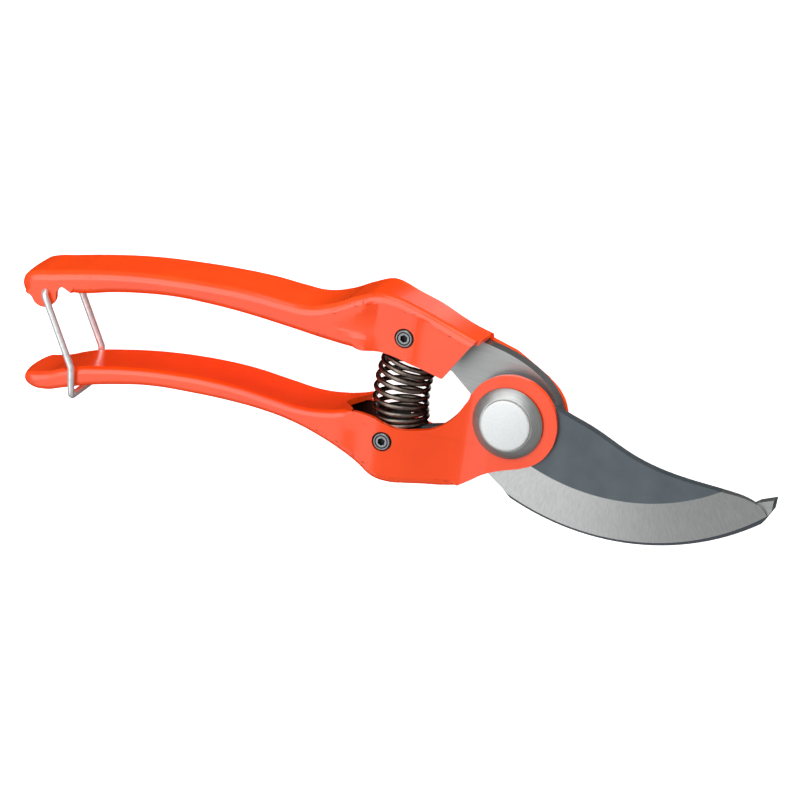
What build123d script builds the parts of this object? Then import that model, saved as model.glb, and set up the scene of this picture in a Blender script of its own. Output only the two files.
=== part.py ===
from build123d import *
import math
import os

# Bypass pruning shears, lying closed on their back.
# Millimetres. Origin: the pivot axis at the back plane of the handles.
# +X runs to the blade's tip, +Y to the upper handle, +Z out of the front face.

# Cutting tools reach this far from the pivot, past every part
REACH_X = 160.0
REACH_FRONT_X = 30.0
REACH_Y = 40.0

# Pressed steel handles
HANDLE_WIDTH = 22.0
SHEET = 1.6
EYE_RADIUS = 13.8
REAR_EYE_RADIUS = 14.8

# Curves of the grips in plan: each runs with the hollow on its right
UPPER_BACK = [
    (-148.0, 10.6), (-128.3, 16.0), (-102.1, 20.2), (-78.2, 21.6), (-62.5, 21.4),
    (-49.0, 27.3), (-37.8, 30.3), (-10.8, 22.9),
]
UPPER_BELLY = [
    (-46.2, 12.6), (-66.4, 13.7), (-84.0, 14.7), (-102.0, 14.3), (-121.0, 11.0), (-142.0, 6.0),
]
LOWER_TOP = [
    (-137.8, -17.6), (-128.5, -13.4), (-113.4, -9.9), (-98.2, -7.8), (-80.1, -7.2), (-60.0, -8.6), (-45.0, -5.9),
]
LOWER_BACK = [
    (-12.6, -22.4), (-22.0, -23.8), (-31.5, -24.8), (-36.5, -24.2), (-45.9, -18.7), (-62.2, -13.6),
    (-80.0, -12.2), (-106.0, -13.7), (-125.7, -18.5), (-137.5, -22.6),
]

# Where the folded webs and the short flanges end
UPPER_WEB_END_X = UPPER_BACK[-1][0]
LOWER_WEB_END_X = LOWER_BACK[0][0]
UPPER_LIP_END = (-19.9, 9.9)
UPPER_END_LOW = (-148.2, 5.8)

# The stack along the pivot, from the back plane to the front
NUT_HEIGHT = 4.2
LOCK_WASHER_THICKNESS = 1.0
HOOK_THICKNESS = 4.2
BLADE_THICKNESS = 3.2
CONE_HEIGHT = 2.1
HEAD_PROUD = 0.9
REAR_EYE_BACK = NUT_HEIGHT + LOCK_WASHER_THICKNESS
HOOK_BACK = REAR_EYE_BACK + SHEET
BLADE_BACK = HOOK_BACK + HOOK_THICKNESS
BLADE_FRONT = BLADE_BACK + BLADE_THICKNESS
EYE_FRONT = BLADE_FRONT + SHEET
CONE_FRONT = EYE_FRONT + CONE_HEIGHT
HEAD_FRONT = CONE_FRONT + HEAD_PROUD

# The long flange of each handle steps in from the grip's width to the eye
STEP_START_X = -28.5
STEP_END_X = -13.5
STEP_BEND_RADIUS = 4.0
HEAD_START_X = -45.0
MOUTH_APEX_X = -50.0

# Pivot hardware
PIVOT_RADIUS = 4.0
RUNNING_GAP = 0.05
BOLT_HEAD_RADIUS = 7.35
BOLT_HEAD_THICKNESS = 2.0
BOLT_HEAD_CHAMFER = 0.35
BOLT_END_Z = 0.5
CONE_RADIUS = 10.45
CONE_TOP_RADIUS = 7.8
CONE_RIM = 0.5
NUT_ACROSS_FLATS = 13.0
LOCK_WASHER_RADIUS = 7.8

# Screws that hold the tangs in the handles
HOOK_SCREW_AT = (-32.5, 19.1)
BLADE_SCREW_AT = (-34.6, -12.7)
SCREW_HEAD_RADIUS = 2.5
SCREW_HEAD_HEIGHT = 2.6
SCREW_RADIUS = 1.5
SCREW_END_Z = 2.6
SCREW_SOCKET_FLATS = 2.0
SCREW_SOCKET_DEPTH = 1.5
SCREW_HOLE_RADIUS = 2.9
SPACER_RADIUS = 3.0
SPIGOT_RADIUS = 2.6
SPIGOT_BACK = 0.2
TANG_HOLE_RADIUS = 1.6

# Blade and hook share one centre for their curved edges
EDGE_CENTRE = (30.0, 47.0)
CUTTING_RADIUS = 74.9
GRIND_RADIUS = 62.4
HOOK_RADIUS = 75.6
EDGE_LAND = 0.25
HUB_RADIUS = 13.4
BEVEL_START_X = -12.0
BLADE_TIP = (77.9, -9.9)
BLADE_HEEL = (1.9, -22.4)
BLADE_SHOULDER = (-7.0, -16.0)
HOOK_NOSE = (79.2, -4.8)
HOOK_CHIN = (76.6, -12.6)
HOOK_HEEL = (2.5, -23.4)
HOOK_BROW = (-13.3, 20.4)
HUB_SPINE_ANGLE = 42.0
HUB_TANG_ANGLE = 172.0
HOOK_THROAT_ANGLE = 225.0
HOOK_SHANK_ANGLE = 164.0

# Compression spring between the tangs
SPRING_X = -33.2
SPRING_RADIUS = 8.2
SPRING_WIRE = 1.6
SPRING_LOW_Y = -7.0
SPRING_HIGH_Y = 10.6
SPRING_COILS = 7
SEAT_SLOPE = 0.2
LOWER_SEAT_Y = -9.2
UPPER_SEAT_Y = 12.8
SEAT_HALF_WIDTH = 8.6
NIB_HALF_WIDTH = 4.2
NIB_TOP_HALF_WIDTH = 3.0
NIB_ROOT = 2.0
NIB_HEIGHT = 3.2

# Wire catch at the handle ends
CATCH_HINGE = (-140.6, 7.0)
CATCH_KINK = (-129.4, -13.2)
CATCH_CORNER = (-128.2, -21.6)
CATCH_WIRE_RADIUS = 1.0
CATCH_SIDE_GAP = 0.25
CATCH_BEND = 1.5
CATCH_PIN_LENGTH = 3.2
EAR_RADIUS = 3.9


def at(x_y, z=0.0):
    """A location above a point of the plan."""
    return Pos(x_y[0], x_y[1], z)


def rod(centre, radius, low, high):
    """A cylinder along Z between two heights."""
    return at(centre, low) * Cylinder(radius, high - low, align=(Align.CENTER, Align.CENTER, Align.MIN))


def plate(face, low, high):
    """A plan outline extruded between two heights."""
    return Pos(0, 0, low) * extrude(face, amount=high - low)


def polygon(*points):
    """A flat polygon in the plan."""
    return make_face(Polyline(*points, close=True))


def side_envelope(*points):
    """An outline in X and Z, carried right across the object in Y, with its step bends rounded."""
    face = make_face(Plane.XZ * Polyline(*points, close=True))
    bends = [v for v in face.vertices() if abs(v.X - STEP_START_X) < 0.01 or abs(v.X - STEP_END_X) < 0.01]
    face = fillet(bends, radius=STEP_BEND_RADIUS)
    return extrude(face, amount=2 * REACH_Y, both=True)


def polar(radius, degrees):
    """A plan point at a radius and angle from the pivot."""
    return radius * math.cos(math.radians(degrees)), radius * math.sin(math.radians(degrees))


def inset(points):
    """Points of a curve moved in by the sheet's thickness, to the right of the way it runs."""
    moved = []
    for index, (x, y) in enumerate(points):
        before = points[max(index - 1, 0)]
        after = points[min(index + 1, len(points) - 1)]
        dx, dy = after[0] - before[0], after[1] - before[1]
        shift = SHEET / math.hypot(dx, dy)
        moved.append((x + shift * dy, y - shift * dx))
    return moved


def upper_outline():
    """Plan of the upper handle: grip, head and rear eye."""
    corner = UPPER_LIP_END
    shoulder_angle = 62.0
    throat_angle = 162.0
    lip = Spline(corner, (-28.8, 11.8), (-38.1, 13.4), UPPER_BELLY[0], tangents=[(-0.95, 0.3), (-1, 0)])
    belly = Spline(*UPPER_BELLY, tangents=[(-1, 0), (-1, -0.1)])
    heel = Line(UPPER_BELLY[-1], UPPER_END_LOW)
    end = Spline(UPPER_END_LOW, (-150.4, 8.2), UPPER_BACK[0], tangents=[(-1, 0), (0.9, 0.35)])
    back = Spline(*UPPER_BACK, tangents=[(0.9, 0.35), (0.95, -0.3)])
    shoulder = Line(UPPER_BACK[-1], polar(REAR_EYE_RADIUS, shoulder_angle))
    eye = CenterArc((0, 0), REAR_EYE_RADIUS, shoulder_angle, throat_angle - 360 - shoulder_angle)
    throat = Line(polar(REAR_EYE_RADIUS, throat_angle), corner)
    return make_face([lip, belly, heel, end, back, shoulder, eye, throat])


def lower_outline():
    """Plan of the lower handle: grip, head and front eye."""
    throat_angle = 168.0
    heel_angle = -72.0
    crest = Spline(
        LOWER_TOP[-1], (-38.5, -6.3), (-30.5, -8.2), (-20.5, -6.2), polar(EYE_RADIUS, throat_angle),
        tangents=[(1, 0.05), (0.35, 0.94)],
    )
    top = Spline(*LOWER_TOP, tangents=[(1, 0.5), (1, 0.05)])
    eye = CenterArc((0, 0), EYE_RADIUS, throat_angle, heel_angle - throat_angle)
    heel = Spline(polar(EYE_RADIUS, heel_angle), (-5.0, -16.9), LOWER_BACK[0])
    back = Spline(*LOWER_BACK)
    end = Spline(LOWER_BACK[-1], (-143.0, -20.4), LOWER_TOP[0], tangents=[(-1, -0.05), (1, 0.3)])
    return make_face([top, crest, eye, heel, back, end])


def shell_of(outline, over, under, outer, inner, mouth):
    """A pressed handle: its plan between side envelopes, hollow between two edges, open at its mouth."""
    upper_side = inset(over)
    lower_side = inset(under)
    hollow = make_face(
        [
            Spline(*upper_side),
            Line(upper_side[-1], lower_side[0]),
            Spline(*lower_side),
            Line(lower_side[-1], upper_side[0]),
        ]
    )
    body = plate(outline, 0, HANDLE_WIDTH) & outer
    body -= plate(hollow, 0, HANDLE_WIDTH) & inner
    return body - (plate(mouth, 0, HANDLE_WIDTH) & inner)


def mouth_notch(wall_y):
    """The wedge where the closed grip opens into the head."""
    wedge = Plane.XZ * Polyline(
        (MOUTH_APEX_X, HANDLE_WIDTH / 2),
        (HEAD_START_X + 1, HANDLE_WIDTH - SHEET),
        (HEAD_START_X + 1, SHEET),
        close=True,
    )
    return Pos(0, wall_y, 0) * extrude(make_face(wedge), amount=3.5, both=True)


def make_upper_handle():
    """Hook-side handle: closed grip, short front flange, rear flange run on to the rear eye."""
    outer = side_envelope(
        (-REACH_X, 0), (STEP_START_X, 0), (STEP_END_X, REAR_EYE_BACK), (REACH_FRONT_X, REAR_EYE_BACK),
        (REACH_FRONT_X, HANDLE_WIDTH), (-REACH_X, HANDLE_WIDTH),
    )
    inner = side_envelope(
        (-REACH_X, SHEET), (STEP_START_X, SHEET), (STEP_END_X, HOOK_BACK), (REACH_FRONT_X, HOOK_BACK),
        (REACH_FRONT_X, HANDLE_WIDTH - SHEET), (-REACH_X, HANDLE_WIDTH - SHEET),
    )
    mouth = polygon(
        (HEAD_START_X, 17), (-30, 22), (UPPER_WEB_END_X, 21), (UPPER_WEB_END_X, REACH_Y), (REACH_FRONT_X, REACH_Y),
        (REACH_FRONT_X, -REACH_Y), (HEAD_START_X, -REACH_Y),
    )
    body = shell_of(upper_outline(), UPPER_BACK, UPPER_BELLY, outer, inner, mouth)
    beyond_front_flange = polygon(
        UPPER_LIP_END, (UPPER_WEB_END_X, 24.4), (UPPER_WEB_END_X, REACH_Y), (REACH_FRONT_X, REACH_Y),
        (REACH_FRONT_X, -REACH_Y), (-32, -REACH_Y),
    )
    body -= plate(beyond_front_flange, HOOK_BACK, HANDLE_WIDTH)
    body -= mouth_notch(13.0)
    for low in (0, HANDLE_WIDTH - SHEET):
        body += rod(CATCH_HINGE, EAR_RADIUS, low, low + SHEET)
    slot = polygon((-145.4, 3), (-134.6, 3), (-134.6, 9.6), (-145.4, 9.6))
    body -= plate(slot, SHEET, HANDLE_WIDTH - SHEET)
    body -= rod(CATCH_HINGE, CATCH_WIRE_RADIUS + RUNNING_GAP, -1, HANDLE_WIDTH + 1)
    body -= rod((0, 0), PIVOT_RADIUS + RUNNING_GAP, 0, HANDLE_WIDTH)
    body -= rod(HOOK_SCREW_AT, SCREW_HOLE_RADIUS, HANDLE_WIDTH / 2, HANDLE_WIDTH)
    body -= rod(HOOK_SCREW_AT, SPIGOT_RADIUS, 0, HANDLE_WIDTH / 2)
    return body


def make_lower_handle():
    """Blade-side handle: closed grip, short rear flange, front flange run on to the front eye."""
    outer = side_envelope(
        (-REACH_X, 0), (REACH_FRONT_X, 0), (REACH_FRONT_X, EYE_FRONT), (STEP_END_X, EYE_FRONT),
        (STEP_START_X, HANDLE_WIDTH), (-REACH_X, HANDLE_WIDTH),
    )
    inner = side_envelope(
        (-REACH_X, SHEET), (REACH_FRONT_X, SHEET), (REACH_FRONT_X, BLADE_FRONT), (STEP_END_X, BLADE_FRONT),
        (STEP_START_X, HANDLE_WIDTH - SHEET), (-REACH_X, HANDLE_WIDTH - SHEET),
    )
    mouth = polygon(
        (HEAD_START_X, -10), (-38, -18), (LOWER_WEB_END_X, -20.6), (LOWER_WEB_END_X, -REACH_Y),
        (REACH_FRONT_X, -REACH_Y), (REACH_FRONT_X, REACH_Y), (HEAD_START_X, REACH_Y),
    )
    body = shell_of(lower_outline(), LOWER_TOP, LOWER_BACK, outer, inner, mouth)
    beyond_rear_flange = polygon(
        (-21, -5), (LOWER_WEB_END_X, -24), (LOWER_WEB_END_X, -REACH_Y), (REACH_FRONT_X, -REACH_Y),
        (REACH_FRONT_X, REACH_Y), (-21, REACH_Y),
    )
    body -= plate(beyond_rear_flange, 0, BLADE_FRONT)
    body -= mouth_notch(-6.5)
    body -= rod((0, 0), PIVOT_RADIUS + RUNNING_GAP, 0, HANDLE_WIDTH)
    body -= rod(BLADE_SCREW_AT, SCREW_HOLE_RADIUS, HANDLE_WIDTH / 2, HANDLE_WIDTH)
    body -= rod(BLADE_SCREW_AT, SPIGOT_RADIUS, 0, HANDLE_WIDTH / 2)
    return body


def seat_line(middle_y, slope):
    """The two ends of a spring seat, tilted to fan out with the handles."""
    return [
        (SPRING_X + dx, middle_y + slope * dx) for dx in (-SEAT_HALF_WIDTH, SEAT_HALF_WIDTH)
    ]


def spring_nib(middle_y, slope, direction):
    """A tapered nib in plan that stands off a seat into the spring."""
    corners = (
        (-NIB_HALF_WIDTH, -NIB_ROOT), (NIB_HALF_WIDTH, -NIB_ROOT),
        (NIB_TOP_HALF_WIDTH, NIB_HEIGHT), (-NIB_TOP_HALF_WIDTH, NIB_HEIGHT),
    )
    return polygon(*((SPRING_X + dx, middle_y + slope * dx + dy * direction) for dx, dy in corners))


def make_cutting_blade():
    """Blade with its hub, tang and ground bevel, flat against the hook on its back face."""
    seat = seat_line(LOWER_SEAT_Y, SEAT_SLOPE)
    spine = Spline(
        polar(HUB_RADIUS, HUB_SPINE_ANGLE), (22.9, 3.9), (36.1, -1.4), (52.0, -4.5), (67.0, -5.2), (75.0, -7.0),
        BLADE_TIP, tangents=[(0.6, -0.5), (0.4, -1)],
    )
    belly = ThreePointArc(BLADE_TIP, (EDGE_CENTRE[0], EDGE_CENTRE[1] - CUTTING_RADIUS), BLADE_HEEL)
    heel = Line(BLADE_HEEL, BLADE_SHOULDER)
    sole = Polyline(BLADE_SHOULDER, (-20.0, -20.0), (-38.0, -19.5), (SPRING_X - SEAT_HALF_WIDTH, -15.0), seat[0])
    top = Polyline(seat[0], seat[1], (-15.5, -5.0), polar(HUB_RADIUS, HUB_TANG_ANGLE))
    hub = CenterArc((0, 0), HUB_RADIUS, HUB_TANG_ANGLE, HUB_SPINE_ANGLE - HUB_TANG_ANGLE)
    body = plate(make_face([spine, belly, heel, sole, top, hub]), BLADE_BACK, BLADE_FRONT)
    body += plate(spring_nib(LOWER_SEAT_Y, SEAT_SLOPE, 1), BLADE_BACK, BLADE_FRONT)
    bevel_height = BLADE_THICKNESS - EDGE_LAND
    bevel = Pos(EDGE_CENTRE[0], EDGE_CENTRE[1], BLADE_BACK + EDGE_LAND) * Cone(
        CUTTING_RADIUS, GRIND_RADIUS, bevel_height, align=(Align.CENTER, Align.CENTER, Align.MIN)
    )
    land = rod(EDGE_CENTRE, CUTTING_RADIUS + 1, BLADE_BACK, BLADE_BACK + EDGE_LAND)
    tang_side = plate(
        polygon((-REACH_X, -REACH_Y), (BEVEL_START_X, -REACH_Y), (BEVEL_START_X, REACH_Y), (-REACH_X, REACH_Y)),
        BLADE_BACK, BLADE_FRONT,
    )
    body &= bevel + land + tang_side
    body -= rod((0, 0), PIVOT_RADIUS + RUNNING_GAP, BLADE_BACK, BLADE_FRONT)
    body -= rod(BLADE_SCREW_AT, TANG_HOLE_RADIUS, BLADE_BACK, BLADE_FRONT)
    return body


def make_hook_blade():
    """Hooked counter blade behind the cutting blade, with its tang in the upper handle."""
    nose_inner = (74.5, -6.8)
    seat = seat_line(UPPER_SEAT_Y, -SEAT_SLOPE)
    outer = ThreePointArc(HOOK_CHIN, (EDGE_CENTRE[0], EDGE_CENTRE[1] - HOOK_RADIUS), HOOK_HEEL)
    point = Polyline(nose_inner, HOOK_NOSE, (79.0, -8.2), HOOK_CHIN)
    inner = Spline((12.9, -3.6), (19.0, -13.0), (30.0, -19.0), (45.0, -19.6), (60.0, -15.6), nose_inner)
    heel = Polyline(HOOK_HEEL, (-3.0, -18.6), polar(HUB_RADIUS, HOOK_THROAT_ANGLE))
    throat = CenterArc((0, 0), HUB_RADIUS, HOOK_THROAT_ANGLE, HOOK_SHANK_ANGLE - HOOK_THROAT_ANGLE)
    shank = Polyline(polar(HUB_RADIUS, HOOK_SHANK_ANGLE), (-19.9, 9.4), seat[1], seat[0])
    tail = Polyline(seat[0], (-42.0, 20.0), (-38.0, 24.0), (-29.0, 24.5), HOOK_BROW)
    brow = Spline(HOOK_BROW, (-3.3, 18.4), (3.8, 15.6), (11.7, 8.9), (12.9, -3.6))
    face = make_face([point, outer, heel, throat, shank, tail, brow, inner])
    body = plate(face, HOOK_BACK, BLADE_BACK)
    body += plate(spring_nib(UPPER_SEAT_Y, -SEAT_SLOPE, -1), HOOK_BACK, BLADE_BACK)
    body -= rod((0, 0), PIVOT_RADIUS + RUNNING_GAP, HOOK_BACK, BLADE_BACK)
    body -= rod(HOOK_SCREW_AT, TANG_HOLE_RADIUS, HOOK_BACK, BLADE_BACK)
    return body


def make_pivot_bolt():
    """Flat round head on a plain shank; the thread in the nut is left plain."""
    head_back = HEAD_FRONT - BOLT_HEAD_THICKNESS
    head = rod((0, 0), BOLT_HEAD_RADIUS, head_back, HEAD_FRONT)
    rim = head.edges().filter_by(GeomType.CIRCLE).sort_by(Axis.Z)[-1]
    head = chamfer(rim, BOLT_HEAD_CHAMFER)
    return head + rod((0, 0), PIVOT_RADIUS, BOLT_END_Z, head_back)


def make_cone_washer():
    """Turned conical washer, with a recess for the bolt's head."""
    ring = rod((0, 0), CONE_RADIUS, EYE_FRONT, EYE_FRONT + CONE_RIM)
    ring += Pos(0, 0, EYE_FRONT + CONE_RIM) * Cone(
        CONE_RADIUS, CONE_TOP_RADIUS, CONE_HEIGHT - CONE_RIM, align=(Align.CENTER, Align.CENTER, Align.MIN)
    )
    ring -= rod((0, 0), PIVOT_RADIUS + RUNNING_GAP, EYE_FRONT, CONE_FRONT)
    return ring - rod((0, 0), BOLT_HEAD_RADIUS + RUNNING_GAP, HEAD_FRONT - BOLT_HEAD_THICKNESS, CONE_FRONT)


def make_lock_washer():
    """Plain washer between the nut and the rear eye."""
    ring = rod((0, 0), LOCK_WASHER_RADIUS, NUT_HEIGHT, REAR_EYE_BACK)
    return ring - rod((0, 0), PIVOT_RADIUS + RUNNING_GAP, NUT_HEIGHT, REAR_EYE_BACK)


def make_pivot_nut():
    """Low hexagon nut whose back face is the plane that the shears lie on."""
    hexagon = RegularPolygon(NUT_ACROSS_FLATS / 2, 6, major_radius=False)
    return plate(hexagon, 0, NUT_HEIGHT) - rod((0, 0), PIVOT_RADIUS, 0, NUT_HEIGHT)


def make_tang_screw(centre, shank_end):
    """Cap screw with a hexagon socket, its head inside the hole of the front flange."""
    head_back = HANDLE_WIDTH - SCREW_HEAD_HEIGHT
    screw = rod(centre, SCREW_HEAD_RADIUS, head_back, HANDLE_WIDTH)
    screw += rod(centre, SCREW_RADIUS, shank_end, head_back)
    socket = at(centre) * RegularPolygon(SCREW_SOCKET_FLATS / 2, 6, major_radius=False)
    return screw - plate(socket, HANDLE_WIDTH - SCREW_SOCKET_DEPTH, HANDLE_WIDTH)


def make_spacer(centre, tang_front):
    """Tube between the tang and the front flange, with a seat for the screw's head."""
    top = HANDLE_WIDTH - SHEET
    tube = rod(centre, SPACER_RADIUS, tang_front, top)
    tube -= rod(centre, SCREW_RADIUS + RUNNING_GAP, tang_front, top)
    return tube - rod(centre, SCREW_HEAD_RADIUS + RUNNING_GAP, HANDLE_WIDTH - SCREW_HEAD_HEIGHT, top)


def make_barrel_nut(centre, tang_back):
    """Shouldered nut from the tang to the rear flange, with a spigot through the flange's hole."""
    nut = rod(centre, SPACER_RADIUS, SHEET, tang_back)
    nut += rod(centre, SPIGOT_RADIUS - RUNNING_GAP, SPIGOT_BACK, SHEET)
    return nut - rod(centre, SCREW_RADIUS, SHEET, tang_back)


def make_coil_spring():
    """Round-wire compression spring, drawn straight between the two tangs."""
    length = SPRING_HIGH_Y - SPRING_LOW_Y
    mean_radius = SPRING_RADIUS - SPRING_WIRE / 2
    path = Helix(length / SPRING_COILS, length, mean_radius)
    wire = sweep(Plane(path @ 0, z_dir=path % 0) * Circle(SPRING_WIRE / 2), path=path, is_frenet=True)
    return Pos(SPRING_X, SPRING_LOW_Y, HANDLE_WIDTH / 2) * Rot(-90, 0, 0) * wire


def make_wire_catch():
    """Round-wire bail, hinged in the upper handle's ears and looped under the lower handle."""
    outside = CATCH_WIRE_RADIUS + CATCH_SIDE_GAP
    back = -outside
    front = HANDLE_WIDTH + outside
    path = FilletPolyline(
        (*CATCH_HINGE, CATCH_PIN_LENGTH),
        (*CATCH_HINGE, back),
        (*CATCH_KINK, back),
        (*CATCH_CORNER, back),
        (*CATCH_CORNER, front),
        (*CATCH_KINK, front),
        (*CATCH_HINGE, front),
        (*CATCH_HINGE, HANDLE_WIDTH - CATCH_PIN_LENGTH),
        radius=CATCH_BEND,
    )
    return sweep(Plane(path @ 0, z_dir=path % 0) * Circle(CATCH_WIRE_RADIUS), path=path)


NODES = {
    "upper_handle": make_upper_handle(),
    "lower_handle": make_lower_handle(),
    "hook_blade": make_hook_blade(),
    "cutting_blade": make_cutting_blade(),
    "pivot_bolt": make_pivot_bolt(),
    "pivot_cone_washer": make_cone_washer(),
    "pivot_lock_washer": make_lock_washer(),
    "pivot_nut": make_pivot_nut(),
    "hook_screw": make_tang_screw(HOOK_SCREW_AT, SCREW_END_Z),
    "hook_screw_spacer": make_spacer(HOOK_SCREW_AT, BLADE_BACK),
    "hook_screw_nut": make_barrel_nut(HOOK_SCREW_AT, HOOK_BACK),
    "blade_screw": make_tang_screw(BLADE_SCREW_AT, SCREW_END_Z),
    "blade_screw_spacer": make_spacer(BLADE_SCREW_AT, BLADE_FRONT),
    "blade_screw_nut": make_barrel_nut(BLADE_SCREW_AT, BLADE_BACK),
    "coil_spring": make_coil_spring(),
    "wire_catch": make_wire_catch(),
}

os.makedirs("parts", exist_ok=True)
for node, shape in NODES.items():
    export_step(shape, f"parts/{node}.step")
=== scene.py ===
"""Bypass pruning shears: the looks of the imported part, in metres, on its own frame."""

import logging
import math
from contextlib import contextmanager
from dataclasses import dataclass, field
from enum import Enum
from typing import Callable, Iterator, Sequence

import bmesh
import bpy
from bpy.types import Material, Node, NodeSocket, NodeTree, Object
from mathutils import Matrix, Vector


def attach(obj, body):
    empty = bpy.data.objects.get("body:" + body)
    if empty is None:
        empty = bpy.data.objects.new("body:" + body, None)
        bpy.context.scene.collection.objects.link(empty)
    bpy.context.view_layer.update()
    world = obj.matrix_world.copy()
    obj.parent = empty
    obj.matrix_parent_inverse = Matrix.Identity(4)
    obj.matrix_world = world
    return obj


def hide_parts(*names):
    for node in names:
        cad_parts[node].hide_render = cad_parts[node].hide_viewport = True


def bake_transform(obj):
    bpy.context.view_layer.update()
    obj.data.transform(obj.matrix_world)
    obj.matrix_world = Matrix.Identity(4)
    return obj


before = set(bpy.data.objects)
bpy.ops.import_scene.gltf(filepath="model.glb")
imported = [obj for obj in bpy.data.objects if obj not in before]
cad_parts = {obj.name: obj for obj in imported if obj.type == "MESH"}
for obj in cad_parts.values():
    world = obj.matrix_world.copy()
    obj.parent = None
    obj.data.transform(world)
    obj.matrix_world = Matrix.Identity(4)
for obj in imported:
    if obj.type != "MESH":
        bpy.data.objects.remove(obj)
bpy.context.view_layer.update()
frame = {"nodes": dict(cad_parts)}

MM = 0.001
# Points closer than this, in metres, are taken as one height
SAME = 0.00001
# Doubles within this distance, in metres, are merged before a skin gets its thickness
MERGE = 0.00012
BISECT_SNAP = 0.00002
# A turned part's points this near its axis, in metres, lie on it
ON_AXIS = 0.000001
WELD = 0.000005
Plan = tuple[float, float]
# Where the two tang screws stand, in millimetres
HOOK_SCREW_AT: Plan = (-32.5, 19.1)
BLADE_SCREW_AT: Plan = (-34.6, -12.7)
Colour = tuple[float, float, float, float]
Picker = Callable[[bmesh.types.BMFace], bool]

logging.basicConfig(level=logging.INFO, format="%(message)s")
log = logging.getLogger("shears")


# ---------------------------------------------------------------- bench tools


def to_linear(code: str) -> Colour:
    """Turns an sRGB hex colour to linear RGBA.

    Args:
        code: six hex digits, with or without a hash sign.

    Returns:
        The colour in linear light, with alpha 1.
    """
    code = code.lstrip("#")
    parts = [int(code[i:i + 2], 16) / 255 for i in (0, 2, 4)]
    r, g, b = (c / 12.92 if c <= 0.04045 else ((c + 0.055) / 1.055) ** 2.4 for c in parts)
    return r, g, b, 1.0


def clear_selection() -> None:
    """Deselects every object."""
    bpy.ops.object.select_all(action="DESELECT")


def make_active(obj: Object) -> None:
    """Selects one object alone and makes it active."""
    clear_selection()
    obj.select_set(True)
    bpy.context.view_layer.objects.active = obj


@contextmanager
def editing(obj: Object) -> Iterator[None]:
    """Edit mode on one object for the length of a with block."""
    make_active(obj)
    bpy.ops.object.mode_set(mode="EDIT")
    yield
    bpy.ops.object.mode_set(mode="OBJECT")


def select_where(kind: str, test: Callable[..., bool]) -> None:
    """Selects, in edit mode, the faces, edges or verts that pass a test and nothing else.

    Args:
        kind: "faces", "edges" or "verts".
        test: called with each bmesh element.
    """
    mesh = bpy.context.object.data
    bm = bmesh.from_edit_mesh(mesh)
    bpy.ops.mesh.select_mode(type={"faces": "FACE", "edges": "EDGE", "verts": "VERT"}[kind])
    for group in (bm.faces, bm.edges, bm.verts):
        for element in group:
            element.select = False
    chosen = [element for element in getattr(bm, kind) if test(element)]
    for element in chosen:
        element.select_set(True)
    bmesh.update_edit_mesh(mesh)


def delete_faces(test: Picker) -> None:
    """Deletes, in edit mode, the faces that pass a test."""
    select_where("faces", test)
    bpy.ops.mesh.delete(type="FACE")


def select_all() -> None:
    """Selects, in edit mode, the whole mesh."""
    bpy.ops.mesh.select_all(action="SELECT")


def face_out() -> None:
    """Turns, in edit mode, every face of the mesh outwards."""
    select_all()
    bpy.ops.mesh.normals_make_consistent(inside=False)


def mid(face: bmesh.types.BMFace) -> Vector:
    """The middle of a face, in millimetres."""
    return face.calc_center_median() / MM


def cut_plane(point: Sequence[float], normal: Sequence[float]) -> None:
    """Bisects the selected faces with a plane.

    Args:
        point: a point of the plane, in millimetres.
        normal: the plane's normal.
    """
    bpy.ops.mesh.bisect(
        plane_co=[c * MM for c in point], plane_no=Vector(normal).normalized(), use_fill=False, threshold=BISECT_SNAP
    )


def apply_modifier(obj: Object, kind: str, **settings: object) -> None:
    """Adds one modifier to an object with its settings and applies it.

    Args:
        obj: the object.
        kind: the modifier's type.
        settings: its properties.
    """
    make_active(obj)
    modifier = obj.modifiers.new(kind.title(), kind)
    for name, value in settings.items():
        setattr(modifier, name, value)
    bpy.ops.object.modifier_apply(modifier=modifier.name)


def smooth(obj: Object, degrees: float = 30.0) -> None:
    """Shades an object smooth, with edges sharper than an angle left crisp."""
    make_active(obj)
    bpy.ops.object.shade_smooth_by_angle(angle=math.radians(degrees))


def settle(obj: Object) -> None:
    """Puts an object's place, turn and scale into its mesh."""
    make_active(obj)
    bpy.ops.object.transform_apply(location=True, rotation=True, scale=True)


def drop(obj: Object) -> None:
    """Removes a helper object."""
    bpy.data.objects.remove(obj, do_unlink=True)


def outline_solid(name: str, points: Sequence[tuple], low: float, high: float, steps: int = 6) -> Object:
    """A closed plan curve through points, filled and extruded.

    Args:
        name: the object's name.
        points: (x, y) for a smooth point or (x, y, "corner") for a corner, in order round the plan, in millimetres.
        low: height of its back face.
        high: height of its front face.
        steps: mesh edges between two points.

    Returns:
        The extruded mesh object.
    """
    clear_selection()
    bpy.ops.curve.primitive_bezier_curve_add(location=(0, 0, 0))
    curve = bpy.context.object
    curve.name = name
    curve.data.dimensions = "3D"
    curve.data.resolution_u = steps
    spline = curve.data.splines[0]
    spline.bezier_points.add(len(points) - len(spline.bezier_points))
    spline.use_cyclic_u = True
    for knot, point in zip(spline.bezier_points, points):
        knot.co = (point[0] * MM, point[1] * MM, low * MM)
        knot.handle_left_type = knot.handle_right_type = "VECTOR" if len(point) > 2 else "AUTO"
    bpy.ops.object.convert(target="MESH")
    solid = bpy.context.object
    with editing(solid):
        select_all()
        bpy.ops.mesh.remove_doubles(threshold=BISECT_SNAP)
        bpy.ops.mesh.edge_face_add()
        bpy.ops.mesh.extrude_region_move(TRANSFORM_OT_translate={"value": (0, 0, (high - low) * MM)})
        face_out()
    return solid


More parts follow.
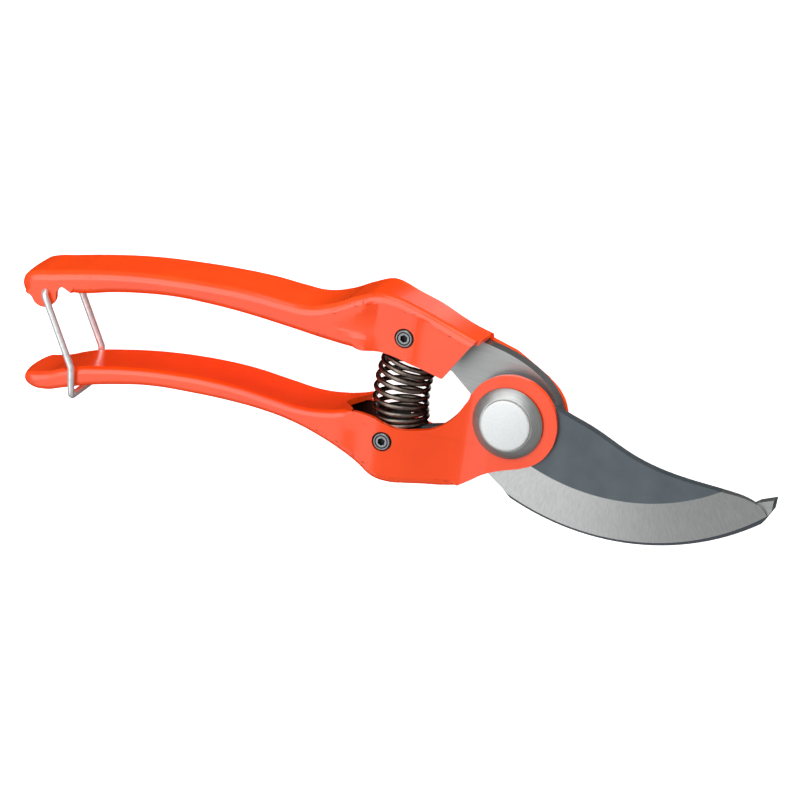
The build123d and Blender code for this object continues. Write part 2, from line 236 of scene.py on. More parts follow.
def lathe(name: str, profile: Sequence[Plan], centre: Plan = (0.0, 0.0), steps: int = 96) -> Object:
    """A turned part: a profile spun about an upright axis.

    Args:
        name: the object's name.
        profile: (radius, height) points in millimetres, from the axis or back to the start.
        centre: where the axis stands in plan.
        steps: facets round the part.

    Returns:
        The closed, turned mesh object.
    """
    clear_selection()
    bpy.ops.mesh.primitive_circle_add(vertices=len(profile), radius=MM, fill_type="NOTHING")
    part = bpy.context.object
    part.name = name
    for vertex, (radius, height) in zip(part.data.vertices, profile):
        vertex.co = (radius * MM, 0, height * MM)
    with editing(part):
        select_where("edges", lambda e: all(v.co.x < ON_AXIS for v in e.verts))
        bpy.ops.mesh.delete(type="EDGE")
        select_all()
        bpy.ops.mesh.spin(steps=steps, angle=math.tau, center=(0, 0, 0), axis=(0, 0, 1))
        select_all()
        bpy.ops.mesh.remove_doubles(threshold=WELD)
        face_out()
        bpy.ops.transform.translate(value=(centre[0] * MM, centre[1] * MM, 0))
    settle(part)
    smooth(part)
    return part


def bore(obj: Object, centre: Plan, radius: float, low: float, high: float, sides: int = 64) -> None:
    """Bores an upright hole.

    Args:
        obj: the piece that gets the hole.
        centre: its place in plan, in millimetres.
        radius: its radius.
        low: where it starts.
        high: where it ends.
        sides: facets of the hole, 6 for a hexagon socket.
    """
    clear_selection()
    bpy.ops.mesh.primitive_cylinder_add(
        vertices=sides, radius=radius * MM, depth=(high - low) * MM,
        location=(centre[0] * MM, centre[1] * MM, (low + high) / 2 * MM),
    )
    drill = bpy.context.object
    apply_modifier(obj, "BOOLEAN", operation="DIFFERENCE", solver="EXACT", object=drill)
    drop(drill)


# ---------------------------------------------------------------- finishes


def add_node(tree: NodeTree, kind: str, links: dict | None = None, **settings: object) -> Node:
    """Adds a shader node with its settings and links.

    Args:
        tree: the node tree.
        kind: the node's type name.
        links: input name or index to an output socket or a plain value.
        settings: properties of the node.

    Returns:
        The new node.
    """
    node = tree.nodes.new(kind)
    for name, value in settings.items():
        setattr(node, name, value)
    for key, source in (links or {}).items():
        if isinstance(source, NodeSocket):
            tree.links.new(source, node.inputs[key])
        else:
            node.inputs[key].default_value = source
    return node


def start_material(name: str) -> tuple[Material, NodeTree, Node, NodeSocket]:
    """A new material with its shader and the Object coordinates.

    Args:
        name: the material's name.

    Returns:
        The material, its tree, its Principled shader and the Object coordinate socket.
    """
    material = bpy.data.materials.new(name)
    material.use_nodes = True
    tree = material.node_tree
    shader = tree.nodes["Principled BSDF"]
    place = add_node(tree, "ShaderNodeTexCoord")
    return material, tree, shader, place.outputs["Object"]


def per_metre(millimetres: float) -> float:
    """The noise scale that gives features of a size in millimetres."""
    return 1000.0 / millimetres


def noise(tree: NodeTree, place: NodeSocket, size: float, detail: float) -> NodeSocket:
    """Noise with features of a size in millimetres."""
    links = {"Vector": place, "Scale": per_metre(size), "Detail": detail}
    return add_node(tree, "ShaderNodeTexNoise", links).outputs["Fac"]


def reckon(tree: NodeTree, operation: str, a: object, b: object) -> NodeSocket:
    """The result of one sum on two sockets or numbers."""
    return add_node(tree, "ShaderNodeMath", {0: a, 1: b}, operation=operation).outputs["Value"]


def remap(
    tree: NodeTree, value: NodeSocket, to: Plan, source: Plan = (0.0, 1.0)
) -> NodeSocket:
    """Maps a value from one range to another and holds it there.

    Args:
        tree: the node tree.
        value: the value.
        to: the range of the result.
        source: the range of the value.

    Returns:
        The mapped value.
    """
    links = {"Value": value, "From Min": source[0], "From Max": source[1], "To Min": to[0], "To Max": to[1]}
    return add_node(tree, "ShaderNodeMapRange", links).outputs["Result"]


def emboss(
    tree: NodeTree, shader: Node, height: NodeSocket, strength: float, depth: float
) -> None:
    """Bumps a shader's surface.

    Args:
        tree: the node tree.
        shader: the Principled shader.
        height: the height pattern.
        strength: the bump's strength.
        depth: its distance, in metres.
    """
    links = {"Height": height, "Strength": strength, "Distance": depth}
    tree.links.new(add_node(tree, "ShaderNodeBump", links).outputs["Normal"], shader.inputs["Normal"])


def two_tone(
    tree: NodeTree, source: NodeSocket, dark: str, light: str, reach: float = 0.2
) -> NodeSocket:
    """Colours a value with two hex colours that blend about its middle.

    Args:
        tree: the node tree.
        source: the value, 0 to 1.
        dark: the colour of low values.
        light: the colour of high values.
        reach: half the width of the blend.

    Returns:
        The colour output.
    """
    node = add_node(tree, "ShaderNodeValToRGB", {"Fac": source})
    stops = ((0.5 - reach, dark), (0.5 + reach, light))
    for element, (position, colour) in zip(node.color_ramp.elements, stops):
        element.position = position
        element.color = to_linear(colour)
    return node.outputs["Color"]


def plan_reach(
    tree: NodeTree, place: NodeSocket, centre: Plan
) -> tuple[Node, NodeSocket]:
    """Splits a place into its coordinates and measures how far it lies from a point of the plan.

    Args:
        tree: the node tree.
        place: Object coordinates.
        centre: the point, in millimetres.

    Returns:
        The node with X, Y and Z, and the distance in metres.
    """
    parts = add_node(tree, "ShaderNodeSeparateXYZ", {"Vector": place})
    flat = add_node(tree, "ShaderNodeCombineXYZ", {"X": parts.outputs["X"], "Y": parts.outputs["Y"]})
    reach = add_node(
        tree, "ShaderNodeVectorMath",
        {0: flat.outputs["Vector"], 1: (centre[0] * MM, centre[1] * MM, 0.0)}, operation="DISTANCE",
    )
    return parts, reach.outputs["Value"]


@dataclass(frozen=True)
class PowderCoat:
    """Polyester powder coat baked on pressed steel: a glossy skin that flows into a faint orange peel."""

    name: str = "powder_coated_steel"
    colour: str = "#FF4A00"
    deep: str = "#FA4500"
    peel_size: float = 2.2
    roughness: float = 0.24

    def make(self) -> Material:
        """Builds the material.

        Returns:
            The finished material.
        """
        material, tree, shader, place = start_material(self.name)
        # The colour drifts a little where the coat is thicker
        tint = two_tone(tree, noise(tree, place, 18, 2.0), self.deep, self.colour, 0.15)
        tree.links.new(tint, shader.inputs["Base Color"])
        # Orange peel, drawn coarser than the real half millimetre so that it shows
        peel = noise(tree, place, self.peel_size, 2.0)
        emboss(tree, shader, peel, 0.05, 0.0002)
        spread = remap(tree, peel, (self.roughness - 0.03, self.roughness + 0.04))
        tree.links.new(spread, shader.inputs["Roughness"])
        shader.inputs["IOR"].default_value = 1.5
        shader.inputs["Coat Weight"].default_value = 0.5
        shader.inputs["Coat Roughness"].default_value = 0.12
        return material


class Grain(Enum):
    """Which way the marks of a metal's last working run."""

    NONE = "none"
    ALONG = "along the tool"
    TURNED = "in rings about the pivot"
    RADIAL = "across the edge"


# How a grain about a centre scales its pattern: along the radius, and per radian
STRETCH = {Grain.TURNED: (1.0, 0.0006), Grain.RADIAL: (0.04, 0.065)}
# The scale along the tool of a grain that runs with it
LONG_MARKS = 0.06


@dataclass(frozen=True)
class BareMetal:
    """A bare or thinly plated metal with the marks of its last working."""

    name: str
    colour: str
    dark: str
    roughness: float
    grain: Grain = Grain.NONE
    grain_size: float = 0.6
    mark_depth: float = 0.25
    centre: Plan = (0.0, 0.0)
    metallic: float = 1.0

    def coordinates(self, tree: NodeTree, place: NodeSocket) -> NodeSocket:
        """Stretches the pattern so that its marks run along the grain.

        Args:
            tree: the node tree.
            place: Object coordinates.

        Returns:
            The coordinates for the noise.
        """
        if self.grain is Grain.NONE:
            return place
        if self.grain is Grain.ALONG:
            node = add_node(tree, "ShaderNodeMapping", {"Vector": place, "Scale": (LONG_MARKS, 1.0, 1.0)})
            return node.outputs["Vector"]
        centred = add_node(
            tree, "ShaderNodeVectorMath",
            {0: place, 1: (self.centre[0] * MM, self.centre[1] * MM, 0.0)}, operation="SUBTRACT",
        )
        parts = add_node(tree, "ShaderNodeSeparateXYZ", {"Vector": centred.outputs["Vector"]})
        angle = reckon(tree, "ARCTAN2", parts.outputs["Y"], parts.outputs["X"])
        flat = add_node(tree, "ShaderNodeCombineXYZ", {"X": parts.outputs["X"], "Y": parts.outputs["Y"]})
        radius = add_node(tree, "ShaderNodeVectorMath", {0: flat.outputs["Vector"]}, operation="LENGTH")
        outward, about = STRETCH[self.grain]
        around = reckon(tree, "MULTIPLY", angle, about)
        along = reckon(tree, "MULTIPLY", radius.outputs["Value"], outward)
        node = add_node(tree, "ShaderNodeCombineXYZ", {"X": along, "Y": around, "Z": parts.outputs["Z"]})
        return node.outputs["Vector"]

    def dress(self, tree: NodeTree, shader: Node, place: NodeSocket) -> None:
        """Gives a shader this metal's colour, roughness and marks.

        Args:
            tree: the node tree.
            shader: the Principled shader.
            place: Object coordinates.
        """
        marks = noise(tree, self.coordinates(tree, place), self.grain_size, 4.0)
        tree.links.new(two_tone(tree, marks, self.dark, self.colour), shader.inputs["Base Color"])
        spread = remap(tree, marks, (self.roughness - 0.05, self.roughness + 0.08))
        tree.links.new(spread, shader.inputs["Roughness"])
        emboss(tree, shader, marks, self.mark_depth, 0.00005)
        shader.inputs["Metallic"].default_value = self.metallic

    def make(self) -> Material:
        """Builds the material.

        Returns:
            The finished material.
        """
        material, tree, shader, place = start_material(self.name)
        self.dress(tree, shader, place)
        return material


@dataclass(frozen=True)
class HookSteel(BareMetal):
    """Belt-ground steel with a painted shadow: the curved cutting rim is painted dark grey where the blade's shadow
    falls.
    """

    # Colour of the painted shadow along the cutting rim
    rim: str = "#4A4F55"
    rim_centre: Plan = (30.0, 47.0)
    rim_radius: float = 74.4

    def make(self) -> Material:
        """Builds the material.

        Returns:
            The finished material.
        """
        material, tree, shader, place = start_material(self.name)
        self.dress(tree, shader, place)
        ground = shader.inputs["Base Color"].links[0].from_socket
        # Painted shadow: beyond the rim radius, right of the pivot, the colour turns dark grey
        parts, reach = plan_reach(tree, place, self.rim_centre)
        beyond = reckon(tree, "GREATER_THAN", reach, self.rim_radius * MM)
        mask = reckon(tree, "MULTIPLY", beyond, reckon(tree, "GREATER_THAN", parts.outputs["X"], 0.0))
        mix = add_node(
            tree, "ShaderNodeMix", {"Factor": mask, 6: ground, 7: to_linear(self.rim)}, data_type="RGBA"
        )
        tree.links.new(mix.outputs[2], shader.inputs["Base Color"])
        return material


@dataclass(frozen=True)
class GroundBlade:
    """Blued blade steel with a bright hollow grind: the grind shows up to a crisp line along an arc."""

    name: str = "blued_and_ground_steel"
    body: str = "#5D666B"
    body_dark: str = "#525B61"
    ground: str = "#C3C5C4"
    ground_dark: str = "#B4B7B6"
    grind_centre: Plan = (30.0, 47.0)
    grind_radius: float = 62.4
    line_blur: float = 0.06
    heel_x: float = -11.9
    blade_back: float = 11.0

    def make(self) -> Material:
        """Builds the material.

        Returns:
            The finished material.
        """
        material, tree, shader, place = start_material(self.name)
        parts, reach = plan_reach(tree, place, self.grind_centre)
        edge = (self.grind_radius - self.line_blur) * MM, (self.grind_radius + self.line_blur) * MM
        beyond = remap(tree, reach, (0.0, 1.0), edge)
        right = reckon(tree, "GREATER_THAN", parts.outputs["X"], self.heel_x * MM)
        front = reckon(tree, "GREATER_THAN", parts.outputs["Z"], (self.blade_back + 0.1) * MM)
        mask = reckon(tree, "MULTIPLY", beyond, reckon(tree, "MULTIPLY", right, front))
        stone = BareMetal("", self.ground, self.ground_dark, 0.3, Grain.RADIAL, 0.5, centre=self.grind_centre)
        scratches = noise(tree, stone.coordinates(tree, place), stone.grain_size, 3.0)
        bright = two_tone(tree, scratches, self.ground_dark, self.ground)
        blued = two_tone(tree, noise(tree, place, 9, 3.0), self.body_dark, self.body)
        colour = add_node(tree, "ShaderNodeMix", {"Factor": mask, 6: blued, 7: bright}, data_type="RGBA")
        tree.links.new(colour.outputs[2], shader.inputs["Base Color"])
        tree.links.new(remap(tree, mask, (0.42, 0.3)), shader.inputs["Roughness"])
        tree.links.new(remap(tree, mask, (0.55, 0.9)), shader.inputs["Metallic"])
        emboss(tree, shader, scratches, 0.12, 0.00005)
        return material


def give(obj: Object, material: Material) -> None:
    """Makes a material the only one of an object."""
    obj.data.materials.clear()
    obj.data.materials.append(material)


@dataclass
class Finishes:
    """Every finish of the shears, made once."""

    coat: Material = field(init=False)
    inside: Material = field(init=False)
    hook: Material = field(init=False)
    blade: Material = field(init=False)
    bolt: Material = field(init=False)
    cone: Material = field(init=False)
    screw: Material = field(init=False)
    socket: Material = field(init=False)
    zinc: Material = field(init=False)
    spring: Material = field(init=False)
    wire: Material = field(init=False)

    def __post_init__(self) -> None:
        """Makes the materials."""
        self.coat = PowderCoat().make()
        # Painted shade: the hollow inside the channel lies in shadow, so its coat is painted dark brown
        self.inside = PowderCoat("painted_shade_inside_coat", "#4A1A0C", "#2E120A", 1.5, 0.5).make()
        self.blade = GroundBlade().make()
        # Ground flat on a belt, so the marks run along the tool; the dark band along the cutting rim is painted shadow
        self.hook = HookSteel(
            "belt_ground_steel_painted_rim_shadow", "#A9ACAC", "#9A9D9D", 0.36, Grain.ALONG, 0.7, metallic=0.85
        ).make()
        # Fine blasting leaves an even, bright satin
        self.bolt = BareMetal(
            "bead_blasted_steel", "#E9ECEC", "#DBDFDF", 0.5, Grain.NONE, 0.35, 0.15, metallic=0.45
        ).make()
        # Turned on a lathe, so the light breaks in rings
        self.cone = BareMetal("turned_steel", "#B9BBB9", "#A2A5A4", 0.4, Grain.TURNED, 0.25, 0.25).make()
        # Phosphate leaves a dark, slightly rough skin
        self.screw = BareMetal("phosphated_steel", "#9EA1A4", "#7E8184", 0.34, Grain.NONE, 0.3, 0.2).make()
        # Painted shade: dark steel in the socket and the groove, where shade falls
        self.socket = BareMetal(
            "painted_shade_dark_steel", "#1E1F22", "#141518", 0.5, Grain.NONE, 0.3, 0.2, metallic=0.3
        ).make()
        self.zinc = BareMetal("zinc_plated_steel", "#B9BDBE", "#A3A8AA", 0.32, Grain.NONE, 1.2, 0.15).make()
        # Oil tempering leaves a thin brown-grey scale along the drawn wire
        self.spring = BareMetal("oil_tempered_spring_wire", "#8A8178", "#665E57", 0.3, Grain.NONE, 1.0, 0.15).make()
        self.wire = BareMetal("galvanised_wire", "#F2F3F4", "#E0E2E4", 0.32, Grain.NONE, 1.4, 0.1, metallic=0.7).make()


# ---------------------------------------------------------------- handles


def ease(value: float, start: float, end: float) -> float:
    """A smooth step from 0 at start to 1 at end."""
    t = slope(value, start, end)
    return t * t * (3 - 2 * t)


def slope(value: float, start: float, end: float) -> float:
    """A straight step from 0 at start to 1 at end."""
    return min(max((value - start) / (end - start), 0.0), 1.0)


def free_place(wanted: float, taken: Sequence[float], reach: float = 0.5) -> float:
    """The place within reach of the wanted one that lies furthest from those taken."""
    tries = [wanted + reach * i / 5 for i in range(-5, 6)]
    return max(tries, key=lambda place: min(abs(place - other) for other in taken))


def across(a: Plan, b: Plan, value: float) -> float:
    """The x of the line through two plan points, at a y."""
    return a[0] + (b[0] - a[0]) * (value - a[1]) / (b[1] - a[1])


def ring(radius: float, *degrees: float, centre: Plan = (0.0, 0.0)) -> list[Plan]:
    """Plan points of a circle."""
    turns = [math.radians(a) for a in degrees]
    return [(centre[0] + radius * math.cos(a), centre[1] + radius * math.sin(a)) for a in turns]


@dataclass
class PressedHandle:
    """A handle folded from sheet: a closed grip that opens into a head with two flanges and one long eye.

    The outer skin is shaped first and then given its thickness inwards.
    """

    name: str
    body: str
    width: float = 22.0
    sheet: float = 1.6
    fold: float = 2.3
    head_x: float = -45.0
    end_dome: float = 1.2
    dome_from: float = -144.0
    dome_to: float = -147.4
    step_start: float = -29.5
    step_end: float = -12.5
    pivot_hole: float = 4.05
    screw_hole: float = 2.9
    screw_at: Plan = (0.0, 0.0)
    slot_name: str = "handle_coating"
    dark_to: float = -16.0
    grip_from: float = -136.0
    grip_step: float = 4.0
    grip_cuts: int = 19
    head_from: float = -61.0
    head_step: float = 1.25
    head_cuts: int = 46
    head_grid: Plan = (-56.0, -8.0)
    rows: Plan = (0.0, 0.0)
    eye_back: float = 0.0
    rim_bevel: float = 0.22
    lean_fade: float = 1.6

    def outline(self) -> list[tuple]:
        """The plan of the handle, point by point."""
        raise NotImplementedError

    def folded(self, x: float, y: float) -> bool:
        """Whether the skin folds over at this point of the outline."""
        raise NotImplementedError

    def front_drop(self, x: float, y: float) -> float:
        """How far the front face lies behind the grip's, in millimetres."""
        raise NotImplementedError

    def back_rise(self, x: float) -> float:
        """How far the back face lies in front of the grip's: the step in to the rear eye."""
        return self.eye_back * ease(x, self.step_start, self.step_end)

    def lean(self, x: float, y: float) -> float:
        """How far the web leans in at the back, in millimetres."""
        return 0.0

    def open_up(self, piece: Object) -> None:
        """Cuts away the skin that the real pressing doesn't have."""
        raise NotImplementedError

    def drill(self, piece: Object) -> None:
        """Bores the holes."""
        raise NotImplementedError

    def skin(self) -> Object:
        """The closed outer skin: the plan extruded, folded round its edges and cut in a grid.

        Returns:
            The skin, with flat front and back.
        """
        piece = outline_solid(self.name, self.outline(), 0.0, self.width)
        top = self.width * MM
        head_from, head_to = self.head_grid
        with editing(piece):
            select_where(
                "edges",
                lambda e: (all(v.co.z < SAME for v in e.verts) or all(v.co.z > top - SAME for v in e.verts))
                and all(self.folded(v.co.x / MM, v.co.y / MM) for v in e.verts),
            )
            bpy.ops.mesh.bevel(offset=self.fold * MM, segments=6, affect="EDGES", clamp_overlap=False)
            corners = bmesh.from_edit_mesh(piece.data).verts
            taken_x = sorted({round(v.co.x / MM, 3) for v in corners})
            taken_y = sorted({
                round(v.co.y / MM, 3) for v in corners
                if v.co.z > top - SAME and head_from * MM < v.co.x < head_to * MM
            })
            grip = [self.grip_from + self.grip_step * i for i in range(self.grip_cuts)]
            head = [self.head_from + self.head_step * i for i in range(self.head_cuts)]
            for x in grip + head:
                select_all()
                cut_plane((free_place(x, taken_x), 0, 0), (1, 0, 0))
            for z in range(3, 20, 2):
                select_where("faces", lambda f: abs(f.normal.z) < 0.1 and mid(f).x < self.dome_from)
                cut_plane((0, 0, z), (0, 0, 1))
            lowest, highest = self.rows
            for i in range(int((highest - lowest) / self.head_step) + 1):
                select_where("faces", lambda f: f.normal.z > 0.99 and head_from < mid(f).x < head_to)
                cut_plane((0, free_place(lowest + self.head_step * i, taken_y), 0), (0, 1, 0))
        return piece

    def press(self, piece: Object) -> None:
        """Presses the flat skin to its heights, front and back, and domes the grip's end."""
        middle = self.width / 2 * MM
        for vertex in piece.data.vertices:
            x, y = vertex.co.x / MM, vertex.co.y / MM
            bulge = math.sqrt(max(1.0 - ((vertex.co.z - middle) / middle) ** 2, 0.0))
            vertex.co.y -= self.lean(x, y) * max(1 - vertex.co.z / MM / self.width, 0.0) ** self.lean_fade * MM
            vertex.co.x -= self.end_dome * bulge * slope(-x, -self.dome_from, -self.dome_to) * MM
            if vertex.co.z > middle:
                vertex.co.z -= self.front_drop(x, y) * MM
            else:
                vertex.co.z += self.back_rise(x) * MM
        piece.data.update()

    def build(self, finishes: Finishes) -> Object:
        """Makes the handle.

        Args:
            finishes: the shears' finishes.

        Returns:
            The finished handle, riding on its body.
        """
        piece = self.skin()
        self.press(piece)
        self.open_up(piece)
        with editing(piece):
            select_all()
            bpy.ops.mesh.remove_doubles(threshold=MERGE)
        give(piece, finishes.coat)
        # The second slot holds the painted shade of the hollow, which the inner skin takes
        piece.data.materials.append(finishes.inside)
        apply_modifier(
            piece, "SOLIDIFY", thickness=self.sheet * MM, offset=-1.0, use_even_offset=False,
            use_quality_normals=True, material_offset=1, material_offset_rim=0, bevel_convex=1.0,
        )
        # Faces right of dark_to lose the painted shade and take the plain coat
        for face in piece.data.polygons:
            if face.center.x > self.dark_to * MM:
                face.material_index = 0
        apply_modifier(
            piece, "BEVEL", width=self.rim_bevel * MM, segments=2, limit_method="WEIGHT", use_clamp_overlap=False,
        )
        self.drill(piece)
        smooth(piece, 32)
        # The grid leaves long thin faces, which would otherwise tip the normals
        apply_modifier(piece, "WEIGHTED_NORMAL", keep_sharp=True, mode="FACE_AREA", weight=50)
        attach(piece, self.body)
        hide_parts(self.name.removesuffix("_pressing"))
        log.info("handle %s: %d faces", self.name, len(piece.data.polygons))
        return piece


@dataclass
class UpperHandle(PressedHandle):
    """The hook's handle: short front flange, long back flange with the rear eye, ears for the catch."""

    name: str = "upper_handle_pressing"
    body: str = "hook_side"
    fold: float = 2.5
    screw_at: Plan = HOOK_SCREW_AT
    rear_eye: float = 14.8
    eye_back: float = 5.23
    flange_end: tuple[Plan, Plan] = ((-19.9, 9.9), (-10.8, 24.4))
    web_end: float = -10.8
    flange_from: float = -25.0
    hinge: Plan = (-140.6, 7.0)
    rows: Plan = (10.5, 27.5)
    lip_y: float = 16.0
    ears: Plan = (-146.5, -133.5)
    ear_top: float = 9.6

    def outline(self) -> list[tuple]:
        """The plan: lip, belly, ear, end, back, shoulder and rear eye."""
        return [
            (-19.9, 9.9, "corner"), (-28.8, 11.8), (-38.1, 13.4), (-46.2, 12.6), (-56.0, 12.9), (-66.4, 13.7),
            (-75.0, 14.3), (-84.0, 14.7), (-93.0, 14.7), (-102.0, 14.3), (-112.0, 12.9), (-121.0, 11.0),
            (-130.0, 8.5), (-132.8, 8.2), (-134.4, 9.0), (-136.0, 9.4), (-137.2, 8.0), (-137.3, 5.2), (-138.8, 3.0),
            (-141.0, 2.3), (-143.3, 3.0), (-144.9, 4.8), (-146.5, 5.4), (-147.4, 6.8), (-147.6, 8.6), (-146.9, 10.5),
            (-144.9, 11.8), (-140.0, 13.1), (-128.3, 16.0), (-115.0, 18.6), (-102.1, 20.2), (-90.0, 21.2),
            (-78.2, 21.6), (-70.0, 21.3), (-62.5, 21.4), (-55.5, 23.7), (-49.0, 27.3), (-43.5, 29.7),
            (-37.8, 30.2), (-30.0, 28.6), (-20.0, 25.6), (-10.8, 22.9, "corner"),
        ] + [(*ring(self.rear_eye, 62)[0], "corner")] + ring(
            self.rear_eye, 40, 18, -4, -26, -48, -70, -92, -114, -136, -158, -180
        ) + [(*ring(self.rear_eye, -198)[0], "corner")]

    def folded(self, x: float, y: float) -> bool:
        """Everything but the lip, the shoulder and the rear eye."""
        on_ear = self.ears[0] - 0.2 < x < self.ears[1] + 0.5 and y < self.ear_top
        return (x < self.head_x - 1.0 or y > 20.0) and x < self.web_end + 0.05 and not on_ear

    def front_drop(self, x: float, y: float) -> float:
        """The head's panel, pressed in, with a facet where it starts and a dimple right of the screw."""
        left = across((-54.2, 18.1), (-42.2, 26.8), y) if y > 18.1 else across((-54.2, 18.1), (-40.4, 14.8), y)
        right = across((-42.2, 26.8), (-40.4, 14.8), y)
        panel = 0.85 * slope(x, min(left, right - 3.0), right)
        dimple = 0.3 * ease(x, -31.0, -26.5) * (1 - 0.8 * slope(x, -25.0, -14.0)) * ease(28.0 - y, 0.5, 3.0)
        return panel + dimple

    def lean(self, x: float, y: float) -> float:
        """The shoulder's web leans in towards the rear eye."""
        along = ease(x, -45.0, -34.0) * (1 - 0.75 * ease(x, -28.0, -10.0)) * (1 - ease(x, -8.0, 6.0))
        return 2.6 * along * slope(y, 14.0, 24.0)

    def open_up(self, piece: Object) -> None:
        """Opens the head along its lip, ends the short flange and leaves the rear eye as one plate."""
        with editing(piece):
            trim(
                self.flange_end, 1,
                lambda f: f.normal.z > 0.5 and mid(f).x > self.flange_from,
                lambda f: f.normal.z > 0.05 and mid(f).z > self.width / 2 and mid(f).x > self.flange_from,
            )
            select_all()
            cut_plane((self.web_end, 0, 0), (1, 0, 0))
            delete_faces(lambda f: f.normal.z > -0.95 and mid(f).x > self.web_end)
            open_mouth(self.head_x, self.width, lambda f: f.normal.y < -0.3)
            delete_faces(lambda f: abs(f.normal.z) < 0.5 and mid(f).x > self.head_x and mid(f).y < self.lip_y)
            # Between the ears only the two side walls stay
            delete_faces(
                lambda f: abs(f.normal.z) < 0.5 and self.ears[0] < mid(f).x < self.ears[1] and mid(f).y < self.ear_top
            )

    def drill(self, piece: Object) -> None:
        """Bores the screw hole, the pivot hole and the holes of the catch's pins."""
        bore(piece, self.screw_at, self.screw_hole, 11, 30)
        bore(piece, (0.0, 0.0), self.pivot_hole, 3, 9)
        bore(piece, self.hinge, 1.05, -1, 23)


@dataclass
class LowerHandle(PressedHandle):
    """The blade's handle: long front flange with the front eye, short back flange."""

    name: str = "lower_handle_pressing"
    body: str = "blade_side"
    end_dome: float = 2.6
    dome_from: float = -136.0
    dome_to: float = -142.4
    fold: float = 2.0
    screw_at: Plan = BLADE_SCREW_AT
    eye: float = 13.8
    eye_front: float = 15.8
    eye_at: Plan = (0.7, 0.3)
    flange_end: tuple[Plan, Plan] = ((-25.0, -10.8), (-20.0, -24.0))
    rows: Plan = (-23.0, -5.0)
    lip_y: float = -15.0
    back_lip: tuple[Plan, Plan] = ((-45.5, -8.3), (-27.0, -11.0))
    flange_from: float = -28.0
    step_start: float = -38.0
    step_end: float = -10.0
    web_end: float = -12.6

    def outline(self) -> list[tuple]:
        """The plan: top, crest, front eye, heel, back and end."""
        return [
            (-139.6, -17.9), (-137.6, -17.2), (-133.5, -15.3), (-128.5, -13.4), (-121.0, -11.5), (-113.4, -9.9),
            (-106.0, -8.7), (-98.2, -7.8), (-89.0, -7.2), (-80.1, -7.2), (-70.0, -8.0), (-60.0, -8.6),
            (-52.0, -7.6), (-45.0, -5.9), (-38.5, -6.2), (-34.5, -7.4), (-30.5, -8.2), (-25.5, -7.7),
            (-20.5, -6.2), (-16.2, -2.6), (*ring(self.eye, 168, centre=self.eye_at)[0], "corner"),
        ] + ring(self.eye, 148, 126, 104, 82, 60, 38, 16, -6, -28, -50, centre=self.eye_at) + [
            (*ring(self.eye, -72, centre=self.eye_at)[0], "corner"), (-1.0, -14.9), (-5.0, -16.9), (-9.0, -19.9),
            (-12.6, -22.4, "corner"),
            (-17.0, -23.3), (-22.0, -23.8), (-27.0, -24.4), (-31.5, -24.8), (-36.5, -24.0), (-41.0, -21.3),
            (-45.9, -18.7), (-53.0, -16.0), (-62.2, -13.6), (-71.0, -12.5), (-80.0, -12.2), (-93.0, -12.6),
            (-106.0, -13.7), (-116.0, -15.8), (-125.7, -18.5), (-132.0, -20.8), (-137.5, -22.6), (-140.5, -22.5),
            (-142.4, -21.0), (-142.2, -19.0),
        ]

    def folded(self, x: float, y: float) -> bool:
        """Everything but the lip, the eye and the heel."""
        return (x < self.head_x - 1.0 or y < -15.0) and x < self.web_end + 0.05

    def front_drop(self, x: float, y: float) -> float:
        """The step to the front eye, a facet behind the head and a crown on the eye."""
        left = across((-53.3, -9.0), (-42.1, -14.5), y)
        panel = 0.5 * slope(x, min(left, -47.0), -41.5)
        step = (self.width - self.eye_front - 0.5) * ease(x, self.step_start, self.step_end)
        reach = math.hypot(x - self.eye_at[0], y - self.eye_at[1])
        crown = 0.34 * slope(reach, 10.6, self.eye) * slope(x, -4.0, 5.0)
        return panel + step + crown

    def open_up(self, piece: Object) -> None:
        """Opens the head along its lip, ends the short flange and leaves the front eye as one plate."""
        with editing(piece):
            # The back flange is lower than the front one, and ends along a slant from its lip to the web
            for line, from_x in ((self.back_lip, self.back_lip[0][0]), (self.flange_end, self.flange_from)):
                def on_back(face: bmesh.types.BMFace, start: float = from_x) -> bool:
                    """Whether a face belongs to this stretch of the back flange."""
                    return face.normal.z < -0.05 and mid(face).z < self.width / 2 and mid(face).x > start

                trim(line, -1, on_back, on_back)
            select_all()
            cut_plane((self.web_end, 0, 0), (1, 0, 0))
            delete_faces(lambda f: f.normal.z < 0.7 and mid(f).x > self.web_end)
            open_mouth(self.head_x, self.width, lambda f: f.normal.y > 0.3)
            delete_faces(lambda f: abs(f.normal.z) < 0.5 and mid(f).x > self.head_x and mid(f).y > self.lip_y)

    def drill(self, piece: Object) -> None:
        """Bores the screw hole and the pivot hole."""
        bore(piece, self.screw_at, self.screw_hole, 11, 30)
        bore(piece, (0.0, 0.0), self.pivot_hole, 9, 30)


def trim(line: tuple[Plan, Plan], beyond: int, cut_on: Picker, remove_on: Picker) -> None:
    """Cuts faces along a line of the plan and deletes those past it.

    Args:
        line: two points of the line.
        beyond: 1 to delete on the right of the way it runs, -1 on its left.
        cut_on: picks the faces to cut.
        remove_on: picks the faces that may go.
    """
    (ax, ay), (bx, by) = line
    start, side = Vector((ax, ay, 0)), Vector((by - ay, ax - bx, 0)) * beyond
    select_where("faces", cut_on)
    cut_plane(start, side)
    delete_faces(lambda f: remove_on(f) and (mid(f) - start).dot(side) > 0)


def open_mouth(head_x: float, width: float, on_wall: Picker) -> None:
    """Cuts the wedge where a grip's inner wall opens into the head.

    Args:
        head_x: where the head starts, in millimetres.
        width: the handle's width.
        on_wall: picks the faces of the inner wall.
    """
    apex_x, middle = head_x - 5.0, width / 2
    long, half = 6.0, middle - 1.6

    def near(face: bmesh.types.BMFace) -> bool:
        """Whether a face of the wall is near the head's start."""
        return on_wall(face) and abs(mid(face).x - head_x) < 9

    for sign in (1, -1):
        select_where("faces", near)
        cut_plane((apex_x, 0, middle), (-half, 0, sign * long))
    delete_faces(lambda f: near(f) and abs(mid(f).z - middle) < (mid(f).x - apex_x) * half / long)


# ---------------------------------------------------------------- spring and screws


